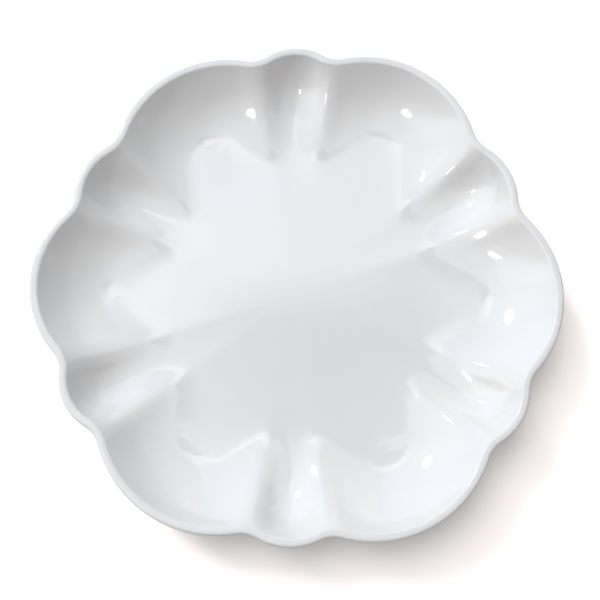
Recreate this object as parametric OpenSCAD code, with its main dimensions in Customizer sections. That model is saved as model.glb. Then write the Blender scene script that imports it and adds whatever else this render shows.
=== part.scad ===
// Scalloped dessert plate of white glazed porcelain: six large petals with a small one between each two.
// Every petal is a hollow that runs in from the lip, and a rounded ridge runs in from every notch.
// The origin is on the table under the middle of the plate, and +Z is up.
// Petals count anticlockwise from +X. Even ones are large and odd ones are small.

/* [Outline] */
// Width across two opposite large petals
plate_across = 200; // [180:1:240]
// How far the small petals stop short of the large ones
small_setback = 4.5; // [2:0.25:7]
// Radius of a large petal's edge, seen from above
large_petal_r = 43.5; // [38:0.5:48]
// Radius of a small petal's edge, seen from above
small_petal_r = 23; // [20:0.5:26]
// Radius of the rounded notch between two petals
notch_r = 11; // [8:0.5:15]

/* [Dish] */
// Depth of the dish, from the top of the lip to the middle of its floor
dish_depth = 15; // [11:0.5:20]
// Thickness of the floor at its middle
floor_t = 5; // [4:0.25:7]
// Thickness of the rounded lip
lip_t = 3.6; // [3:0.1:4.6]
// Rounding of the ridges between the petals
crest_r = 1.3; // [0.8:0.1:4]

/* [Foot ring] */
// Outer width of the foot ring where it joins the dish
foot_across = 112; // [96:1:120]
// Height of the foot ring
foot_h = 4; // [3:0.25:6]
// Thickness of the foot ring where it joins the dish
foot_root_w = 7; // [6:0.25:9]
// Width of the bare face that rests on the table
foot_rest_w = 3; // [2:0.25:4]
// Rounding on both edges of that face
foot_edge_r = 0.8; // [0.4:0.1:1]
// Flat ledge of the dish outside the foot ring
foot_ledge_w = 1.5; // [1:0.25:3]

/* [Hidden] */

petal_pairs = 6;
petals = 2 * petal_pairs;
pitch = 360 / petals;

// The petals of a moulded plate aren't quite alike. Each has its own turn as a share of the pitch,
// its reach as a share of half the plate's width, and its rounding as a share of its radius.
turn_shares = [-0.08, 0.025, 0.09, 0.04, 0.01, 0.045, 0.005, -0.05, -0.025, -0.025, 0.005, -0.03];
reach_shares = [0, -0.016, 0.005, 0.018, -0.005, -0.01, 0, 0.002, -0.008, -0.002, 0.006, 0.008];
round_shares = [-0.02, 0.1, 0, -0.12, 0.01, 0.015, -0.11, -0.07, 0.05, 0.035, 0.03, 0.025];

// The whole floor dips by a share of the depth. On top of that the hollows and the ridges rise, each from
// its own share of the way out, by a power of the way that is left: hollows late and steeply, ridges sooner.
dip_share = 0.07;
large_toe_share = 0.725;
small_toe_share = 0.66;
ridge_toe_share = 0.49;
large_hollow_power = 2;
small_hollow_power = 3.7;
ridge_power = 2.55;
// How fast a ridge fades towards the middle of a petal: 2 leaves a round hollow, and more a flatter one
large_fade_power = 2.3;
small_fade_power = 1.65;

large_arc_steps = 14;
small_arc_steps = 8;
notch_half_steps = 3;
inner_rings = 15;
lip_steps = 6;
under_rings = 8;
corner_steps = 6;
round_fn = 180;
// How far the rings of points are drawn together towards the lip
ring_crowding_share = 0.8;

half_across = plate_across / 2;
floor_z = foot_h + floor_t;
rim_z = floor_z + dish_depth;
lip_r = lip_t / 2;
lip_z = rim_z - lip_r;
ledge_r = foot_across / 2 + foot_ledge_w;

function mix(from, to, share) = from + (to - from) * share;
function heading(v) = atan2(v.y, v.x);
function aim(angle) = [cos(angle), sin(angle)];
// Turn from one heading to another, between -180 and 180 degrees
function turn(from, to) = (to - from + 900) % 360 - 180;

// Each petal's edge is a circle that touches the petal's reach
function is_large(i) = i % 2 == 0;
function petal_r(i) = (is_large(i) ? large_petal_r : small_petal_r) * (1 + round_shares[i]);
function petal_reach(i) = half_across * (1 + reach_shares[i]) - (is_large(i) ? 0 : small_setback);
function petal_centre(i) = (petal_reach(i) - petal_r(i)) * aim(pitch * (i + turn_shares[i]));

// The notch after a petal is a circle outside the plate that touches this petal and the next
function notch_centre(i) =
    let (
        next = (i + 1) % petals,
        here = petal_centre(i),
        step = petal_centre(next) - here,
        gap = norm(step),
        reach_here = petal_r(i) + notch_r,
        reach_next = petal_r(next) + notch_r,
        along = (reach_here ^ 2 - reach_next ^ 2 + gap ^ 2) / (2 * gap),
        out = sqrt(reach_here ^ 2 - along ^ 2)
    )
    here + (step * along + [step.y, -step.x] * out) / gap;

// Points along an arc with their outward normals, without the last. A hollow arc's normals point inwards.
function arc(centre, r, from, sweep, steps, side) =
    [for (k = [0 : steps - 1])
        let (ray = aim(from + sweep * k / steps))
        [centre + r * ray, side * ray]];

// One petal's stretch of the outline, from the deepest point of the notch before it to that after it
function petal_arcs(i) =
    let (
        centre = petal_centre(i),
        before = notch_centre((i + petals - 1) % petals),
        after = notch_centre(i),
        deep_before = heading(-before),
        leave_before = heading(centre - before),
        start = heading(before - centre),
        join_after = heading(centre - after),
        deep_after = heading(-after),
        steps = is_large(i) ? large_arc_steps : small_arc_steps,
        petal_sweep = turn(0, heading(after - centre) - start)
    )
    concat(
        arc(before, notch_r, deep_before, turn(deep_before, leave_before), notch_half_steps, -1),
        arc(centre, petal_r(i), start, petal_sweep, steps, 1),
        arc(after, notch_r, join_after, turn(join_after, deep_after), notch_half_steps, -1)
    );

// A station is one upright cut through the wall at a point of the outline. It holds the middle of the
// lip's rounding and the outward normal there, the share of the way from the middle of the petal to its
// notch, half of the petal's width at the lip, and whether the petal is large.
function station(i, edge) =
    let (
        lip = edge[0] - lip_r * edge[1],
        from = heading(notch_centre((i + petals - 1) % petals)),
        half_turn = turn(from, heading(notch_centre(i))) / 2,
        aside = abs(turn(from, heading(edge[0])) / half_turn - 1),
        half_w = norm(lip) * half_turn * PI / 180
    )
    [lip, edge[1], aside, half_w, is_large(i)];
function lip_middle(s) = s[0];
function normal(s) = s[1];
function aside_share(s) = s[2];
function half_width(s) = s[3];
function toe_share(s) = s[4] ? large_toe_share : small_toe_share;
function hollow_power(s) = s[4] ? large_hollow_power : small_hollow_power;
function fade_power(s) = s[4] ? large_fade_power : small_fade_power;

stations = [for (i = [0 : petals - 1]) for (edge = petal_arcs(i)) station(i, edge)];

// How much of the ridge the wall has at a share of the way out: 0 in the middle of a petal, 1 on the crest
function ridge_share(s, out) =
    let (
        half_w = half_width(s) * out,
        off_crest = norm([(1 - aside_share(s)) * half_w, crest_r]) - crest_r,
        widest = norm([half_w, crest_r]) - crest_r
    )
    pow(1 - off_crest / widest, fade_power(s));

// How high the inner face stands at a share of the way out, from 0 at the middle to 1 at the lip
function climb(out, toe, power) = pow(max(0, out - toe) / (1 - toe), power);
function wall_rise(s, out) =
    let (
        hollow = climb(out, toe_share(s), hollow_power(s)),
        crest = climb(out, ridge_toe_share, ridge_power)
    )
    mix(mix(hollow, crest, ridge_share(s, out)), out * out, dip_share);
// Its steepness at the lip
function wall_steepness(s) =
    let (
        hollow = hollow_power(s) / (1 - toe_share(s)),
        crest = ridge_power / (1 - ridge_toe_share)
    )
    mix(mix(hollow, crest, ridge_share(s, 1)), 2, dip_share);

// The underside follows the inner face from the foot's ledge to the lip
function ledge_share(s) = ledge_r / norm(lip_middle(s));
function ledge_rise(s) = wall_rise(s, ledge_share(s));
function under_rise(s, out) =
    (wall_rise(s, mix(ledge_share(s), 1, out)) - ledge_rise(s)) / (1 - ledge_rise(s));

// The lip's rounding runs between the angles at which it meets the inner face and the underside
function slope_at_lip(s, height) = atan(height * wall_steepness(s) / (lip_middle(s) * normal(s)));
function inner_angle(s) = 90 + slope_at_lip(s, dish_depth);
function under_angle(s) = slope_at_lip(s, (rim_z - lip_t - foot_h) / (1 - ledge_rise(s))) - 90;
function lip_point(s, angle) =
    let (flat_place = lip_middle(s) + lip_r * cos(angle) * normal(s))
    [flat_place.x, flat_place.y, lip_z + lip_r * sin(angle)];

function inner_point(s, out) =
    let (edge = lip_point(s, inner_angle(s)))
    [edge.x * out, edge.y * out, mix(floor_z, edge.z, wall_rise(s, out))];

function under_point(s, out) =
    let (
        edge = lip_point(s, under_angle(s)),
        ledge = ledge_share(s) * lip_middle(s)
    )
    [mix(ledge.x, edge.x, out), mix(ledge.y, edge.y, out), mix(foot_h, edge.z, under_rise(s, out))];

// Even steps drawn together towards 1, where the lip is
function crowd(t) = mix(t, t * (2 - t), ring_crowding_share);

// Rings of points from the middle of the floor over the lip to the foot's ledge
dish_rings = concat(
    [for (k = [1 : inner_rings]) [for (s = stations) inner_point(s, crowd(k / inner_rings))]],
    [for (k = [1 : lip_steps - 1])
        [for (s = stations) lip_point(s, mix(inner_angle(s), under_angle(s), k / lip_steps))]],
    [for (k = [under_rings : -1 : 0]) [for (s = stations) under_point(s, crowd(k / under_rings))]]
);

// A closed skin over rings of points, with a middle point at each end
module ringed_solid(rings, first_middle, last_middle) {
    around = len(rings[0]);
    last_ring = len(rings) - 1;
    points = concat([for (ring = rings) each ring], [first_middle, last_middle]);
    function at(ring, k) = ring * around + k % around;
    polyhedron(points, concat(
        [for (k = [0 : around - 1]) [len(points) - 2, at(0, k + 1), at(0, k)]],
        [for (ring = [0 : last_ring - 1]) for (k = [0 : around - 1]) each [
            [at(ring, k), at(ring, k + 1), at(ring + 1, k + 1)],
            [at(ring, k), at(ring + 1, k + 1), at(ring + 1, k)]
        ]],
        [for (k = [0 : around - 1]) [len(points) - 1, at(last_ring, k), at(last_ring, k + 1)]]
    ));
}

// The lobed body of the plate, from its lip to the flat that the foot ring joins
module dish() {
    color("whitesmoke")
        ringed_solid(dish_rings, [0, 0, floor_z], [0, 0, foot_h]);
}

// Half of the foot's section, from the middle of its resting face up to its root
function foot_side() =
    let (
        corner = [foot_rest_w / 2, foot_edge_r],
        root = [foot_root_w / 2, foot_h],
        away = root - corner,
        side_heading = heading(away) - acos(foot_edge_r / norm(away))
    )
    concat(
        [for (k = [0 : corner_steps]) corner + foot_edge_r * aim(mix(-90, side_heading, k / corner_steps))],
        [root]
    );

// The round foot under the dish, with a bare face that rests on the table
module foot_ring() {
    side = foot_side();
    middle_r = (foot_across - foot_root_w) / 2;
    color("linen")
        rotate_extrude($fn = round_fn)
            polygon(concat(
                [for (p = side) [middle_r + p.x, p.y]],
                [for (k = [len(side) - 1 : -1 : 0]) [middle_r - side[k].x, side[k].y]]
            ));
}

dish();
foot_ring();
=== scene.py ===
import math

import bpy
import numpy as np
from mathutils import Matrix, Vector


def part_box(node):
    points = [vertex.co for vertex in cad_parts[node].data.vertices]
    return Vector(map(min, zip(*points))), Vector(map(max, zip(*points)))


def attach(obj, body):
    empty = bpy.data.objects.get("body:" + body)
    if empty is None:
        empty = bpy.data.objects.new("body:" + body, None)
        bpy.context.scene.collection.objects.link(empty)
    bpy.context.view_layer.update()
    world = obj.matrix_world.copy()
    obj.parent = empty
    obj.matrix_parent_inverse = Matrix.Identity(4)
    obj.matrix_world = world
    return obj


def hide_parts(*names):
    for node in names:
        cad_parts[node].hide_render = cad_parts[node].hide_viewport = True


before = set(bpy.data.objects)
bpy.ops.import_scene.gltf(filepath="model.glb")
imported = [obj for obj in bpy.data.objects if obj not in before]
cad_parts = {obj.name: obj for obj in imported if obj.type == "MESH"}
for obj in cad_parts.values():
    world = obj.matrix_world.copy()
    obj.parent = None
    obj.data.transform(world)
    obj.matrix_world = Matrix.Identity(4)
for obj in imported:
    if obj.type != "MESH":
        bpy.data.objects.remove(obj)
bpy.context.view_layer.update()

dishLow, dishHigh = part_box("dish")
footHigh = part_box("foot_ring")[1]
print("frame loaded")

# All lengths are in metres. +X runs through the middle of the first large petal.
# Petals count anticlockwise; even ones are large, odd ones are small.
outlineShape = dict(
    across=0.1999,  # over two opposite large petals; a hair inside the CAD box
    smallSetback=0.0045,  # small petals stop short of the large ones
    largePetalR=0.0435,
    smallPetalR=0.023,
    notchR=0.011,
    # how each petal differs from an even one
    turnShares=[-0.08, 0.025, 0.09, 0.04, 0.01, 0.045, 0.005, -0.05, -0.025, -0.025, 0.005, -0.03],
    reachShares=[0, -0.016, 0.005, 0.018, -0.005, -0.01, 0, 0.002, -0.008, -0.002, 0.006, 0.008],
    roundShares=[-0.02, 0.1, 0, -0.12, 0.01, 0.015, -0.11, -0.07, 0.05, 0.035, 0.03, 0.025],
    pointStep=0.0009,  # spacing of the points along the lip
)

hollowShape = dict(
    lipT=0.0036,  # thickness of the rounded lip
    lipFullness=2.8,  # 2 makes its section a circle, more flattens its top
    floorT=0.005,
    dipShare=0.07,  # how much of the depth the whole floor dips by
    largeToe=0.725,  # share of the way out at which the hollow of a large petal begins to rise
    smallToe=0.66,
    ridgeToe=0.53,
    largePower=2.35,  # how late and steeply it rises
    smallPower=4.4,
    ridgePower=2.55,
    largeFade=1.95,  # how fast a ridge fades towards the middle of a petal: 2 leaves a round hollow
    smallFade=1.65,
    crestR=0.0008,  # rounding of a ridge
    tailHeight=0.00006,  # a ridge runs on over the floor this high
    tailFrom=0.3,
    tailTo=0.55,
    tailFade=0.25,  # share of the way over which this tail dies out before the lip
    ledgeW=0.0015,  # flat outside the foot ring
    innerRings=110,
    lipRings=28,
    underRings=46,
    crowding=0.75,  # how much the rings crowd towards the lip
)


def aim(angle):
    return np.array([np.cos(angle), np.sin(angle)])


def heading(v):
    return np.arctan2(v[1], v[0])


def turnBetween(a, b):
    return (b - a + 5 * np.pi) % (2 * np.pi) - np.pi


def mix(a, b, share):
    return a + (b - a) * share


def petalCircles(o):
    # centre and radius of every petal's edge circle
    count = len(o["turnShares"])
    circles = []
    for i in range(count):
        large = i % 2 == 0
        r = (o["largePetalR"] if large else o["smallPetalR"]) * (1 + o["roundShares"][i])
        reach = o["across"] / 2 * (1 + o["reachShares"][i]) - (0 if large else o["smallSetback"])
        circles.append(((reach - r) * aim(2 * np.pi / count * (i + o["turnShares"][i])), r))
    return circles


def notchAfter(o, circles, i):
    # middle of the circle outside the plate that touches two neighbouring petals
    (here, hereR), (there, thereR) = circles[i], circles[(i + 1) % len(circles)]
    step = there - here
    gap = np.hypot(*step)
    a, b = hereR + o["notchR"], thereR + o["notchR"]
    along = (a * a - b * b + gap * gap) / (2 * gap)
    out = math.sqrt(a * a - along * along)
    return here + (step * along + np.array([step[1], -step[0]]) * out) / gap


def outlineStations(o):
    # points round the outline: place, outward normal, share of the way from the middle of the petal to
    # the notch, half of the petal's angle, and whether the petal is large
    circles = petalCircles(o)
    notches = [notchAfter(o, circles, i) for i in range(len(circles))]
    stations = []
    for i, (centre, r) in enumerate(circles):
        before, after = notches[i - 1], notches[i]
        width = turnBetween(heading(before), heading(after))
        arcs = [
            (before, o["notchR"], heading(-before), heading(centre - before), -1),
            (centre, r, heading(before - centre), heading(after - centre), 1),
            (after, o["notchR"], heading(centre - after), heading(-after), -1),
        ]
        for middle, radius, start, end, side in arcs:
            sweep = turnBetween(start, end)
            steps = max(2, round(abs(sweep) * radius / o["pointStep"]))
            angles = start + sweep * np.arange(steps) / steps
            rays = np.stack([np.cos(angles), np.sin(angles)], 1)
            place = middle + radius * rays
            aside = np.abs(2 * turnBetween(heading(before), heading(place.T)) / width - 1)
            stations.append(np.column_stack([
                place, side * rays, aside, np.full(steps, width / 2), np.full(steps, i % 2 == 0),
            ]))
    return np.concatenate(stations)


def ridgeShare(h, aside, halfWidth, large):
    # 0 in the middle of a petal and 1 on the crest of a ridge, which is rounded
    offCrest = np.hypot((1 - aside) * halfWidth, h["crestR"]) - h["crestR"]
    widest = np.hypot(halfWidth, h["crestR"]) - h["crestR"]
    return (1 - offCrest / widest) ** np.where(large, h["largeFade"], h["smallFade"])


def climbOf(out, toe, power):
    # from 0 at the toe to 1 at the lip
    return (np.clip(out - toe, 0, 1) / (1 - toe)) ** power


def tailOf(h, out):
    # the low end of a ridge, as a share of the depth; it dies out inwards, and again before the lip
    rising = np.clip((out - h["tailFrom"]) / (h["tailTo"] - h["tailFrom"]), 0, 1)
    smooth = rising ** 2 * (3 - 2 * rising)
    dying = np.clip((1 - out) / h["tailFade"], 0, 1)
    return h["tailHeight"] / (dishHigh.z - dishLow.z) * smooth * dying


def hollowOf(h, large):
    # toe and power of each petal's hollow
    toe = np.where(large, h["largeToe"], h["smallToe"])
    power = np.where(large, h["largePower"], h["smallPower"])
    return toe, power


def wallRise(h, out, ridge, large):
    # height at a share of the way out, from 0 at the middle to 1 at the lip
    hollow = climbOf(out, *hollowOf(h, large))
    crest = climbOf(out, h["ridgeToe"], h["ridgePower"]) + tailOf(h, out)
    return mix(mix(hollow, crest, ridge), out * out, h["dipShare"])


def wallSteepness(h, ridge, large):
    # how steeply that height reaches the lip; the dip's square has a steepness of 2 there
    toe, power = hollowOf(h, large)
    crest = h["ridgePower"] / (1 - h["ridgeToe"])
    return mix(mix(power / (1 - toe), crest, ridge), 2, h["dipShare"])


def dishRings(o, h):
    # rings of points from the middle of the floor, over the lip, to the foot's ledge, and the middle
    # points of the floor and of the underside
    places, normals, aside, halfTurn, large = np.split(outlineStations(o), [2, 4, 5, 6], axis=1)
    aside, halfTurn, large = aside[:, 0], halfTurn[:, 0], large[:, 0] > 0
    rimZ, underZ = dishHigh.z, dishLow.z
    floorZ = underZ + h["floorT"]
    lipR = h["lipT"] / 2
    lip = places - lipR * normals
    reach = np.hypot(*lip.T)
    run = (lip * normals).sum(1)
    ledgeR = footHigh.x + h["ledgeW"]
    halfWidth = halfTurn * reach

    def ridgeAt(out):
        return ridgeShare(h, aside, halfWidth * out, large)

    steep = wallSteepness(h, ridgeAt(1), large)
    ledgeShare = ledgeR / reach
    ledgeRise = wallRise(h, ledgeShare, ridgeAt(ledgeShare), large)
    innerTurn = np.pi / 2 + np.arctan((rimZ - floorZ) * steep / run)
    underSteep = (rimZ - h["lipT"] - underZ) * steep / (1 - ledgeRise)
    underTurn = np.arctan(underSteep / run) - np.pi / 2

    def lipPoint(turn):
        # the point of the lip's section that faces this way
        full = h["lipFullness"]
        across, up = [np.sign(v) * np.abs(v) ** (1 / (full - 1)) for v in (np.cos(turn), np.sin(turn))]
        size = lipR * (np.abs(across) ** full + np.abs(up) ** full) ** (-1 / full)
        flat = lip + (size * across)[:, None] * normals
        return np.column_stack([flat, rimZ - lipR + size * up])

    def crowd(share):
        return mix(share, share * (2 - share), h["crowding"])

    innerEdge, underEdge = lipPoint(innerTurn), lipPoint(underTurn)
    ledge = ledgeR * lip / reach[:, None]
    rings = []
    for k in range(1, h["innerRings"] + 1):
        out = crowd(k / h["innerRings"])
        z = mix(floorZ, innerEdge[:, 2], wallRise(h, out, ridgeAt(out), large))
        rings.append(np.column_stack([innerEdge[:, :2] * out, z]))
    for k in range(1, h["lipRings"]):
        rings.append(lipPoint(mix(innerTurn, underTurn, k / h["lipRings"])))
    for k in range(h["underRings"], -1, -1):
        out = crowd(k / h["underRings"])
        along = mix(ledgeShare, 1, out)
        rise = (wallRise(h, along, ridgeAt(along), large) - ledgeRise) / (1 - ledgeRise)
        z = mix(underZ, underEdge[:, 2], rise)
        rings.append(np.column_stack([mix(ledge, underEdge[:, :2], out), z]))
    return np.array(rings), (0, 0, floorZ), (0, 0, underZ)


def addObject(name, data):
    thing = bpy.data.objects.new(name, data)
    bpy.context.scene.collection.objects.link(thing)
    return thing


def ringedMesh(name, rings, firstMiddle=None, lastMiddle=None, closed=False):
    # a smooth skin over rings of points, with a middle point at either end or closed on itself
    ringCount, around = rings.shape[:2]
    points = [tuple(p) for p in rings.reshape(-1, 3)]
    faces = []
    spans = ringCount if closed else ringCount - 1
    for ring in range(spans):
        a, b = ring * around, (ring + 1) % ringCount * around
        for k in range(around):
            n = (k + 1) % around
            faces.append((a + k, b + k, b + n, a + n))
    for middle, ring, flip in ((firstMiddle, 0, False), (lastMiddle, ringCount - 1, True)):
        if middle is None:
            continue
        points.append(middle)
        top = len(points) - 1
        for k in range(around):
            here, there = ring * around + k, ring * around + (k + 1) % around
            faces.append((top, there, here) if flip else (top, here, there))
    mesh = bpy.data.meshes.new(name)
    mesh.from_pydata(points, [], faces)
    mesh.validate()
    mesh.shade_smooth()
    return addObject(name, mesh)


dish = ringedMesh("glazedDish", *dishRings(outlineShape, hollowShape))
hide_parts("dish")
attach(dish, "root")
print("dish built:", len(dish.data.polygons), "faces")

footShape = dict(
    rootW=0.007,  # thickness where it joins the dish
    restW=0.003,  # width of the bare resting face
    edgeR=0.0008,  # rounding on both edges of that face
    filletR=0.0013,  # glaze gathered in the corner under the dish
    steps=10,
    around=360,
)


def footRings(f):
    # the foot's section, revolved; from the outer corner under the dish round to the inner one
    height = footHigh.z
    corner = np.array([f["restW"] / 2, f["edgeR"]])
    root = np.array([f["rootW"] / 2, height])
    away = root - corner
    sideTurn = heading(away) - math.acos(f["edgeR"] / np.hypot(*away))
    half = [(0.0, 0.0), (f["restW"] / 4, 0.0)]
    for k in range(f["steps"] + 1):
        angle = mix(-np.pi / 2, sideTurn, k / f["steps"])
        half.append(tuple(corner + f["edgeR"] * aim(angle)))
    # a hollow fillet between the side and the flat above
    sideAway = aim(sideTurn + np.pi / 2)
    bend = (np.pi / 2 - abs(np.pi / 2 - heading(sideAway))) / 2
    setback = f["filletR"] * math.tan(bend)
    meet = root - sideAway * setback
    centre = meet + aim(sideTurn) * f["filletR"]
    start = heading(meet - centre)
    for k in range(f["steps"] + 1):
        angle = start + turnBetween(start, np.pi / 2) * k / f["steps"]
        half.append(tuple(centre + f["filletR"] * aim(angle)))
    half = np.array(half)
    section = np.concatenate([half[::-1], half[1:] * [-1, 1]])
    section[:, 0] += footHigh.x - f["rootW"] / 2
    angles = 2 * np.pi * np.arange(f["around"]) / f["around"]
    rings = np.empty((len(section), f["around"], 3))
    rings[:, :, 0] = section[:, :1] * np.cos(angles)
    rings[:, :, 1] = section[:, :1] * np.sin(angles)
    rings[:, :, 2] = section[:, 1:]
    return rings


foot = ringedMesh("glazedFoot", footRings(footShape), closed=True)
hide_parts("foot_ring")
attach(foot, "root")
print("foot ring built")


def put(tree, kind, inputs=None, **settings):
    # a new node; each input is a plain value or another node's output
    node = tree.nodes.new("ShaderNode" + kind)
    for name, value in settings.items():
        setattr(node, name, value)
    for key, value in (inputs or {}).items():
        socket = node.inputs[key]
        if isinstance(value, bpy.types.NodeSocket):
            tree.links.new(value, socket)
        else:
            socket.default_value = value
    return node


def maths(tree, operation, *values):
    return put(tree, "Math", dict(enumerate(values)), operation=operation).outputs[0]


def vectorMaths(tree, operation, *values):
    # a dot product and a length come out of the second socket
    outputs = put(tree, "VectorMath", dict(enumerate(values)), operation=operation).outputs
    return outputs["Value"] if operation in ("DOT_PRODUCT", "LENGTH") else outputs["Vector"]


def noise(tree, place, scale, detail, distortion=0.0):
    return put(tree, "TexNoise", {
        "Vector": place, "Scale": scale, "Detail": detail, "Distortion": distortion,
    }).outputs[0]


def mapRange(tree, value, limits, smooth=False):
    # limits are the values from and to, and what they become where that isn't 0 and 1
    kind = "SMOOTHSTEP" if smooth else "LINEAR"
    inputs = dict(enumerate((value, *limits)))
    return put(tree, "MapRange", inputs, interpolation_type=kind).outputs[0]


def mixColour(tree, share, first, second):
    return put(tree, "Mix", {0: share, 6: first, 7: second}, data_type="RGBA").outputs[2]


def mixValue(tree, share, first, second):
    return put(tree, "Mix", {0: share, 2: first, 3: second}).outputs[0]


def perSize(tree, size):
    # a texture's scale from the size of its features
    return maths(tree, "DIVIDE", 1.0, size)


def newGroup(name, ins, outs):
    # a node group with named sockets; returns its tree, its inputs and its output node
    tree = bpy.data.node_groups.new(name, "ShaderNodeTree")
    kinds = dict(value="NodeSocketFloat", colour="NodeSocketColor", vector="NodeSocketVector")
    for side, sockets in (("INPUT", ins), ("OUTPUT", outs)):
        for socketName, kind in sockets.items():
            tree.interface.new_socket(socketName, in_out=side, socket_type=kinds[kind])
    start = tree.nodes.new("NodeGroupInput")
    end = tree.nodes.new("NodeGroupOutput")
    return tree, start.outputs, end


# Heights of the skin are in millimetres.
glazeLook = dict(
    colour=(0.755, 0.76, 0.765, 1),
    pooled=(0.735, 0.747, 0.757, 1),  # where the glaze has run together
    toneSize=0.045,
    toneAmount=0.6,
    roughness=0.045,
    smear=0.02,  # how much the roughness varies
    rippleFrom=0.058,  # the floor is flat; the walls ripple from here
    rippleTo=0.08,
    rippleSize=0.008,
    rippleHeight=0.2,
    peelSize=0.0016,
    peelHeight=0.0006,
    pinholeSpacing=0.03,
    pinholeShare=0.06,  # share of the cells of that size that hold one
    pinholeSize=0.00035,
    pinholeColour=(0.33, 0.32, 0.3, 1),
    ior=1.5,
)


def makeToneGroup():
    # broad clouds of thicker glaze and a faint fine mottle
    tree, given, end = newGroup("glazeTone", {
        "Place": "vector", "Glaze": "colour", "Pooled": "colour", "Cloud Size": "value", "Amount": "value",
    }, {"Colour": "colour"})
    mottleRatio = 14.0  # how much finer the mottle is
    cloudLimits = (0.35, 0.7, 0.0, 0.8)
    mottleLimits = (0.4, 0.7, 0.0, 0.2)
    scale = perSize(tree, given["Cloud Size"])
    clouds = noise(tree, given["Place"], scale, detail=3.0)
    mottle = noise(tree, given["Place"], maths(tree, "MULTIPLY", scale, mottleRatio), detail=2.0)
    broad = mapRange(tree, clouds, cloudLimits)
    fine = mapRange(tree, mottle, mottleLimits)
    pooling = maths(tree, "ADD", broad, fine)
    share = maths(tree, "MULTIPLY", pooling, given["Amount"])
    tree.links.new(mixColour(tree, share, given["Glaze"], given["Pooled"]), end.inputs["Colour"])
    return tree


def makeSkinGroup():
    # the skin of the fired glaze: slow ripples on the walls, a fine orange peel and a smear of roughness
    tree, given, end = newGroup("glazeSkin", {
        "Place": "vector", "Ripple From": "value", "Ripple To": "value", "Ripple Size": "value",
        "Ripple Height": "value", "Peel Size": "value", "Peel Height": "value",
        "Roughness": "value", "Smear": "value",
    }, {"Height": "value", "Roughness": "value"})
    place = given["Place"]
    smearScale = 38.0  # smears to a metre
    alongFloor = (1.0, 1.0, 0.0)
    outward = vectorMaths(tree, "LENGTH", vectorMaths(tree, "MULTIPLY", place, alongFloor))
    rippling = mapRange(tree, outward, (given["Ripple From"], given["Ripple To"]), smooth=True)
    ripples = noise(tree, place, perSize(tree, given["Ripple Size"]), detail=1.5, distortion=0.6)
    peel = noise(tree, place, perSize(tree, given["Peel Size"]), detail=2.0)
    swell = maths(tree, "MULTIPLY", rippling, given["Ripple Height"])
    slow = maths(tree, "MULTIPLY", ripples, swell)
    height = maths(tree, "MULTIPLY_ADD", peel, given["Peel Height"], slow)
    smears = noise(tree, place, smearScale, detail=4.0)
    rough = maths(tree, "MULTIPLY_ADD", smears, given["Smear"], given["Roughness"])
    tree.links.new(height, end.inputs["Height"])
    tree.links.new(rough, end.inputs["Roughness"])
    return tree


def makePinholeGroup():
    # rare dark specks where a bubble burst in the kiln
    tree, given, end = newGroup("pinholes", {
        "Place": "vector", "Spacing": "value", "Size": "value", "Share": "value",
    }, {"Mask": "value"})
    scale = perSize(tree, given["Spacing"])
    cells = put(tree, "TexVoronoi", {"Vector": given["Place"], "Scale": scale}, feature="F1").outputs
    chance = put(tree, "SeparateColor", {0: cells["Color"]}).outputs[0]
    chosen = maths(tree, "LESS_THAN", chance, given["Share"])
    away = maths(tree, "MULTIPLY", cells["Distance"], given["Spacing"])
    ratio = maths(tree, "DIVIDE", away, given["Size"])
    softEdge = (0.5, 1.0, 1.0, 0.0)
    dot = mapRange(tree, ratio, softEdge, smooth=True)
    tree.links.new(maths(tree, "MULTIPLY", dot, chosen), end.inputs["Mask"])
    return tree


toneGroup = makeToneGroup()
skinGroup = makeSkinGroup()
pinholeGroup = makePinholeGroup()


def glazeNodes(tree, place, look):
    # colour, roughness and skin height of glaze
    tone = put(tree, "Group", {
        "Place": place, "Glaze": look["colour"], "Pooled": look["pooled"],
        "Cloud Size": look["toneSize"], "Amount": look["toneAmount"],
    }, node_tree=toneGroup).outputs
    skin = put(tree, "Group", {
        "Place": place, "Ripple From": look["rippleFrom"], "Ripple To": look["rippleTo"],
        "Ripple Size": look["rippleSize"], "Ripple Height": look["rippleHeight"],
        "Peel Size": look["peelSize"], "Peel Height": look["peelHeight"],
        "Roughness": look["roughness"], "Smear": look["smear"],
    }, node_tree=skinGroup).outputs
    holes = put(tree, "Group", {
        "Place": place, "Spacing": look["pinholeSpacing"], "Share": look["pinholeShare"],
        "Size": look["pinholeSize"],
    }, node_tree=pinholeGroup).outputs
    specked = mixColour(tree, holes["Mask"], tone["Colour"], look["pinholeColour"])
    return specked, skin["Roughness"], skin["Height"]


def newMaterial(name):
    material = bpy.data.materials.new(name)
    material.use_nodes = True
    return material, material.node_tree


def onObject(tree):
    # the place on the object itself, in metres
    return put(tree, "TexCoord").outputs["Object"]


def dress(tree, colour, roughness, height, ior):
    # feeds the material's own shader
    shader = tree.nodes["Principled BSDF"]
    millimetre = 0.001
    bump = put(tree, "Bump", {"Strength": 1.0, "Distance": millimetre, "Height": height})
    tree.links.new(colour, shader.inputs["Base Color"])
    tree.links.new(roughness, shader.inputs["Roughness"])
    tree.links.new(bump.outputs[0], shader.inputs["Normal"])
    shader.inputs["IOR"].default_value = ior


def glazeMaterial(look):
    material, tree = newMaterial("whiteGlaze")
    colour, roughness, height = glazeNodes(tree, onObject(tree), look)
    dress(tree, colour, roughness, height, look["ior"])
    return material


footLook = dict(
    clay=(0.70, 0.69, 0.665, 1),  # the bare ground face
    stain=(0.60, 0.585, 0.555, 1),  # what use leaves in its pores
    stainScale=130.0,  # stains to a metre
    stainLimits=(0.45, 0.75),
    grainSize=0.0006,
    grainHeight=0.012,
    clayRoughness=0.62,
    bareTo=0.00055,  # the glaze begins here
    bareEdge=0.00012,
    waverScale=260.0,  # wavers of that edge to a metre
)


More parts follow.
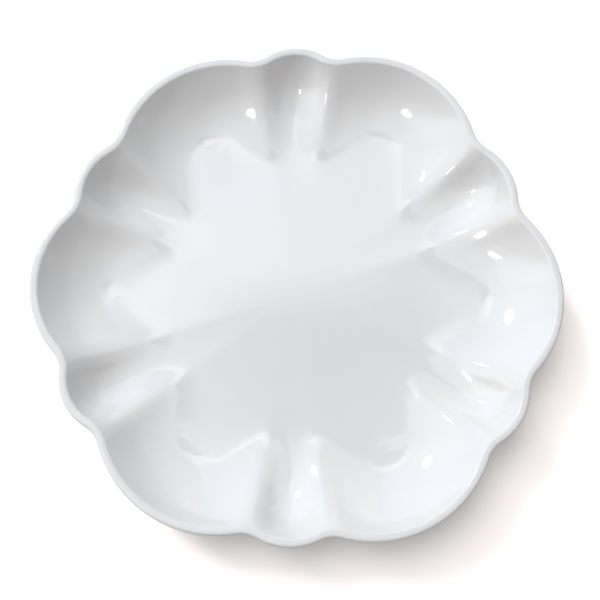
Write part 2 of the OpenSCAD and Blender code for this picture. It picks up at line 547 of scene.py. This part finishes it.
def footMaterial(look, glaze):
    # glazed sides, and bare ground clay on the resting face
    material, tree = newMaterial("footGlazeAndClay")
    place = onObject(tree)
    colour, roughness, height = glazeNodes(tree, place, glaze)
    worn = noise(tree, place, look["stainScale"], detail=5.0)
    stained = mapRange(tree, worn, look["stainLimits"])
    clay = mixColour(tree, stained, look["clay"], look["stain"])
    grain = noise(tree, place, 1 / look["grainSize"], detail=4.0)
    pits = maths(tree, "MULTIPLY", grain, look["grainHeight"])
    # bare up to a wavering edge
    level = put(tree, "SeparateXYZ", {0: place}).outputs[2]
    waver = noise(tree, place, look["waverScale"], detail=2.0)
    edge = maths(tree, "MULTIPLY_ADD", waver, -2 * look["bareEdge"], level)
    bareLimits = (look["bareTo"] - 2 * look["bareEdge"], look["bareTo"], 1.0, 0.0)
    bare = mapRange(tree, edge, bareLimits, smooth=True)
    tone = mixColour(tree, bare, colour, clay)
    rough = mixValue(tree, bare, roughness, look["clayRoughness"])
    skin = mixValue(tree, bare, height, pits)
    dress(tree, tone, rough, skin, glaze["ior"])
    return material


dish.data.materials.append(glazeMaterial(glazeLook))
foot.data.materials.append(footMaterial(footLook, glazeLook))
print("materials made")

floorLook = dict(
    colour=(0.9, 0.895, 0.89, 1),  # as it lights the plate
    seenColour=(1.5, 1.43, 1.395, 1),  # as the camera sees it: white, with the plate's shadow
    mirroredWithPaintedShade=(0.7, 0.69, 0.68, 1),  # as the underside of the lip mirrors it: darker than the floor's own colour, painted shade that darkens the lip's outer edge
    size=6.0,
)


def whiteFloor(look):
    half = look["size"] / 2
    corners = [(-half, -half, 0), (half, -half, 0), (half, half, 0), (-half, half, 0)]
    mesh = bpy.data.meshes.new("floor")
    mesh.from_pydata(corners, [], [(0, 1, 2, 3)])
    floor = addObject("floor", mesh)
    material, tree = newMaterial("paleFloor")
    tree.nodes.clear()
    path = put(tree, "LightPath").outputs
    # mirrored rays see the floor darker than it is: painted shade along the lip's outer edge
    plain = mixColour(tree, path["Is Glossy Ray"], look["colour"], look["mirroredWithPaintedShade"])
    tone = mixColour(tree, path["Is Camera Ray"], plain, look["seenColour"])
    chalk = put(tree, "BsdfDiffuse", {"Color": tone})
    put(tree, "OutputMaterial", {"Surface": chalk.outputs[0]})
    mesh.materials.append(material)


whiteFloor(floorLook)
print("floor laid")

# What the glaze mirrors: a pale room with soft panels, a dark gap over the camera and two lamps.
# Places are slopes of the mirrored ray: how far it goes east (+X) and north (+Y) for each metre that it
# climbs. A panel adds its colour inside its edges, and a fall changes that with each step to the east. An
# edge is a share of east, a share of north, the limit that the sum of both stays under, and a softness.
studioLook = dict(
    room=(2.08, 2.1, 2.12),
    leastClimb=0.05,  # rays that climb less count as this
    panels=[
        dict(name="westWall", adds=(0.3, 0.5, 0.8), edges=[(1, 0, 0, 0.14), (0, -1, 0.6, 0.2)]),
        dict(name="lowWest", adds=(1.0, 0.95, 0.8), edges=[
            (1, 0, -0.45, 0.12), (0, -1, 0.8, 0.3), (0, 1, 0.02, 0.12),
        ]),
        dict(name="southWall", adds=(0.35, 0.15, 0.05), edges=[(0, 1, -0.15, 0.15)]),
        dict(name="farSouth", adds=(-0.45, -0.5, -0.52), edges=[(0, 1, -0.8, 0.35)]),
        dict(name="farEast", adds=(-0.78, -0.8, -0.82), edges=[(-1, 0, -1.5, 0.5)]),
        dict(name="eastWall", adds=(-0.3, -0.3, 0.1), edges=[
            (-1, 0, -0.12, 0.03), (1, 0, 0.6, 0.2), (0, 1, 0.5, 0.1), (0, -1, 0.0, 0.1),
        ]),
        dict(name="northWall", adds=(-0.6, -0.35, 0.05), edges=[
            (1, 0, 0.2, 0.1), (-0.25, -1, -0.42, 0.04),
        ]),
        dict(name="farNorth", adds=(-0.46, -0.48, -0.5), edges=[(1, 0, 0.3, 0.3), (0, -1, -0.85, 0.35)]),
        dict(name="softbox", adds=(1.65, 1.45, 1.6), fall=-6.0, edges=[
            (1, 0, 0.13, 0.03), (-1, 0, 0.17, 0.03), (0, 1, 0.401, 0.004), (0.12, -1, -0.245, 0.033),
            (-1.08, 1, 0.435, 0.03),
        ]),
        dict(name="blueHalf", adds=(-0.45, -0.1, 0.3), edges=[
            (1, 0, 0.2, 0.05), (-1, 0, 0.085, 0.003), (0, 1, 0.401, 0.004), (0, -1, -0.319, 0.002),
        ]),
        dict(name="gap", adds=(-1.85, -1.95, -1.7), edges=[
            (1, 0, 0.118, 0.02), (-1, 0, 0.07, 0.05), (-0.12, 1, 0.245, 0.033), (0, -1, -0.118, 0.004),
        ]),
        dict(name="southBox", adds=(-0.2, 0.05, 0.25), edges=[
            (1, 0, 0.13, 0.02), (-1, 0, 0.2, 0.06), (0, 1, 0.118, 0.004), (0, -1, 0.12, 0.08),
        ]),
    ],
    # each round lamp: turn from +X and tilt off the zenith, radius and edge in degrees, and what it adds
    spots=[
        dict(turn=138, tilt=42, radius=5.2, edge=0.6, adds=(12, 12, 12)),
        dict(turn=-138.5, tilt=38, radius=4.8, edge=0.6, adds=(12, 12, 12)),
    ],
)


def fade(tree, value, limit, softness):
    # 1 while the value is under the limit and 0 beyond it
    return mapRange(tree, value, (limit - softness, limit + softness, 1, 0), smooth=True)


def panelMask(tree, panel, east, north):
    mask = 1.0
    for eastShare, northShare, limit, softness in panel["edges"]:
        eastPart = maths(tree, "MULTIPLY", east, eastShare)
        northPart = maths(tree, "MULTIPLY", north, northShare)
        along = maths(tree, "ADD", eastPart, northPart)
        mask = maths(tree, "MULTIPLY", fade(tree, along, limit, softness), mask)
    if panel.get("fall"):
        strength = maths(tree, "ADD", 1.0, maths(tree, "MULTIPLY", east, panel["fall"]))
        mask = maths(tree, "MULTIPLY", mask, maths(tree, "MAXIMUM", strength, 0.0))
    return mask


def spotMask(tree, spot, ray):
    turn, tilt = math.radians(spot["turn"]), math.radians(spot["tilt"])
    towards = (math.sin(tilt) * math.cos(turn), math.sin(tilt) * math.sin(turn), math.cos(tilt))
    off = maths(tree, "ARCCOSINE", vectorMaths(tree, "DOT_PRODUCT", ray, towards))
    return fade(tree, off, math.radians(spot["radius"]), math.radians(spot["edge"]))


def mirroredStudio(tree, studio):
    # the studio's colour in the direction of a mirrored ray
    ray = put(tree, "TexCoord").outputs["Generated"]
    rayX, rayY, rayZ = put(tree, "SeparateXYZ", {0: ray}).outputs
    climb = maths(tree, "MAXIMUM", rayZ, studio["leastClimb"])
    east = maths(tree, "DIVIDE", rayX, climb)
    north = maths(tree, "DIVIDE", rayY, climb)
    colour = put(tree, "CombineXYZ", dict(enumerate(studio["room"]))).outputs[0]
    for panel in studio["panels"]:
        mask = panelMask(tree, panel, east, north)
        colour = vectorMaths(tree, "MULTIPLY_ADD", mask, panel["adds"], colour)
        colour.node.label = panel["name"]
    for spot in studio["spots"]:
        mask = spotMask(tree, spot, ray)
        colour = vectorMaths(tree, "MULTIPLY_ADD", mask, spot["adds"], colour)
    return colour


skyLook = dict(
    level=0.28,  # plain light on the plate from all round
    background=(1, 1, 1, 1),  # beyond the floor, as the camera sees it
)


def makeSky(look, studio):
    world = bpy.data.worlds.new("sky")
    bpy.context.scene.world = world
    world.use_nodes = True
    tree = world.node_tree
    tree.nodes.clear()
    path = put(tree, "LightPath").outputs
    plain = (look["level"], look["level"], look["level"], 1)
    glow = mixColour(tree, path["Is Glossy Ray"], plain, mirroredStudio(tree, studio))
    seen = mixColour(tree, path["Is Camera Ray"], glow, look["background"])
    background = put(tree, "Background", {"Color": seen})
    put(tree, "OutputWorld", {"Surface": background.outputs[0]})


# Level is what a lamp gives flat ground. Turn counts from +X, height is above the floor and width is how
# wide the lamp looks, all in degrees.
lampLooks = [
    dict(name="lowKey", level=0.30, turn=137, height=38, width=25),
    dict(name="highKey", level=0.35, turn=132, height=68, width=40),
]


def addLamp(look):
    lamp = bpy.data.lights.new(look["name"], "SUN")
    lamp.angle = math.radians(look["width"])
    lamp.energy = look["level"] * math.pi / math.sin(math.radians(look["height"]))
    key = addObject(look["name"], lamp)
    key.rotation_euler = (0, math.radians(90 - look["height"]), math.radians(look["turn"]))
    key.visible_glossy = False


makeSky(skyLook, studioLook)
for lampLook in lampLooks:
    addLamp(lampLook)
print("lights set")

cameraLook = dict(
    place=(0.00178, -0.08788, 0.36788),
    turn=(13.401, -0.143, 0.922),  # degrees
    lens=57.08,  # millimetres, like the sensor
    sensorWidth=36,
    nearest=0.01,
)


def makeCamera(look):
    data = bpy.data.cameras.new("camera")
    data.lens = look["lens"]
    data.sensor_width = look["sensorWidth"]
    data.clip_start = look["nearest"]
    camera = addObject("camera", data)
    camera.location = look["place"]
    camera.rotation_euler = [math.radians(v) for v in look["turn"]]
    bpy.context.scene.camera = camera


makeCamera(cameraLook)
bpy.context.scene.view_settings.view_transform = "Standard"
print("camera set")
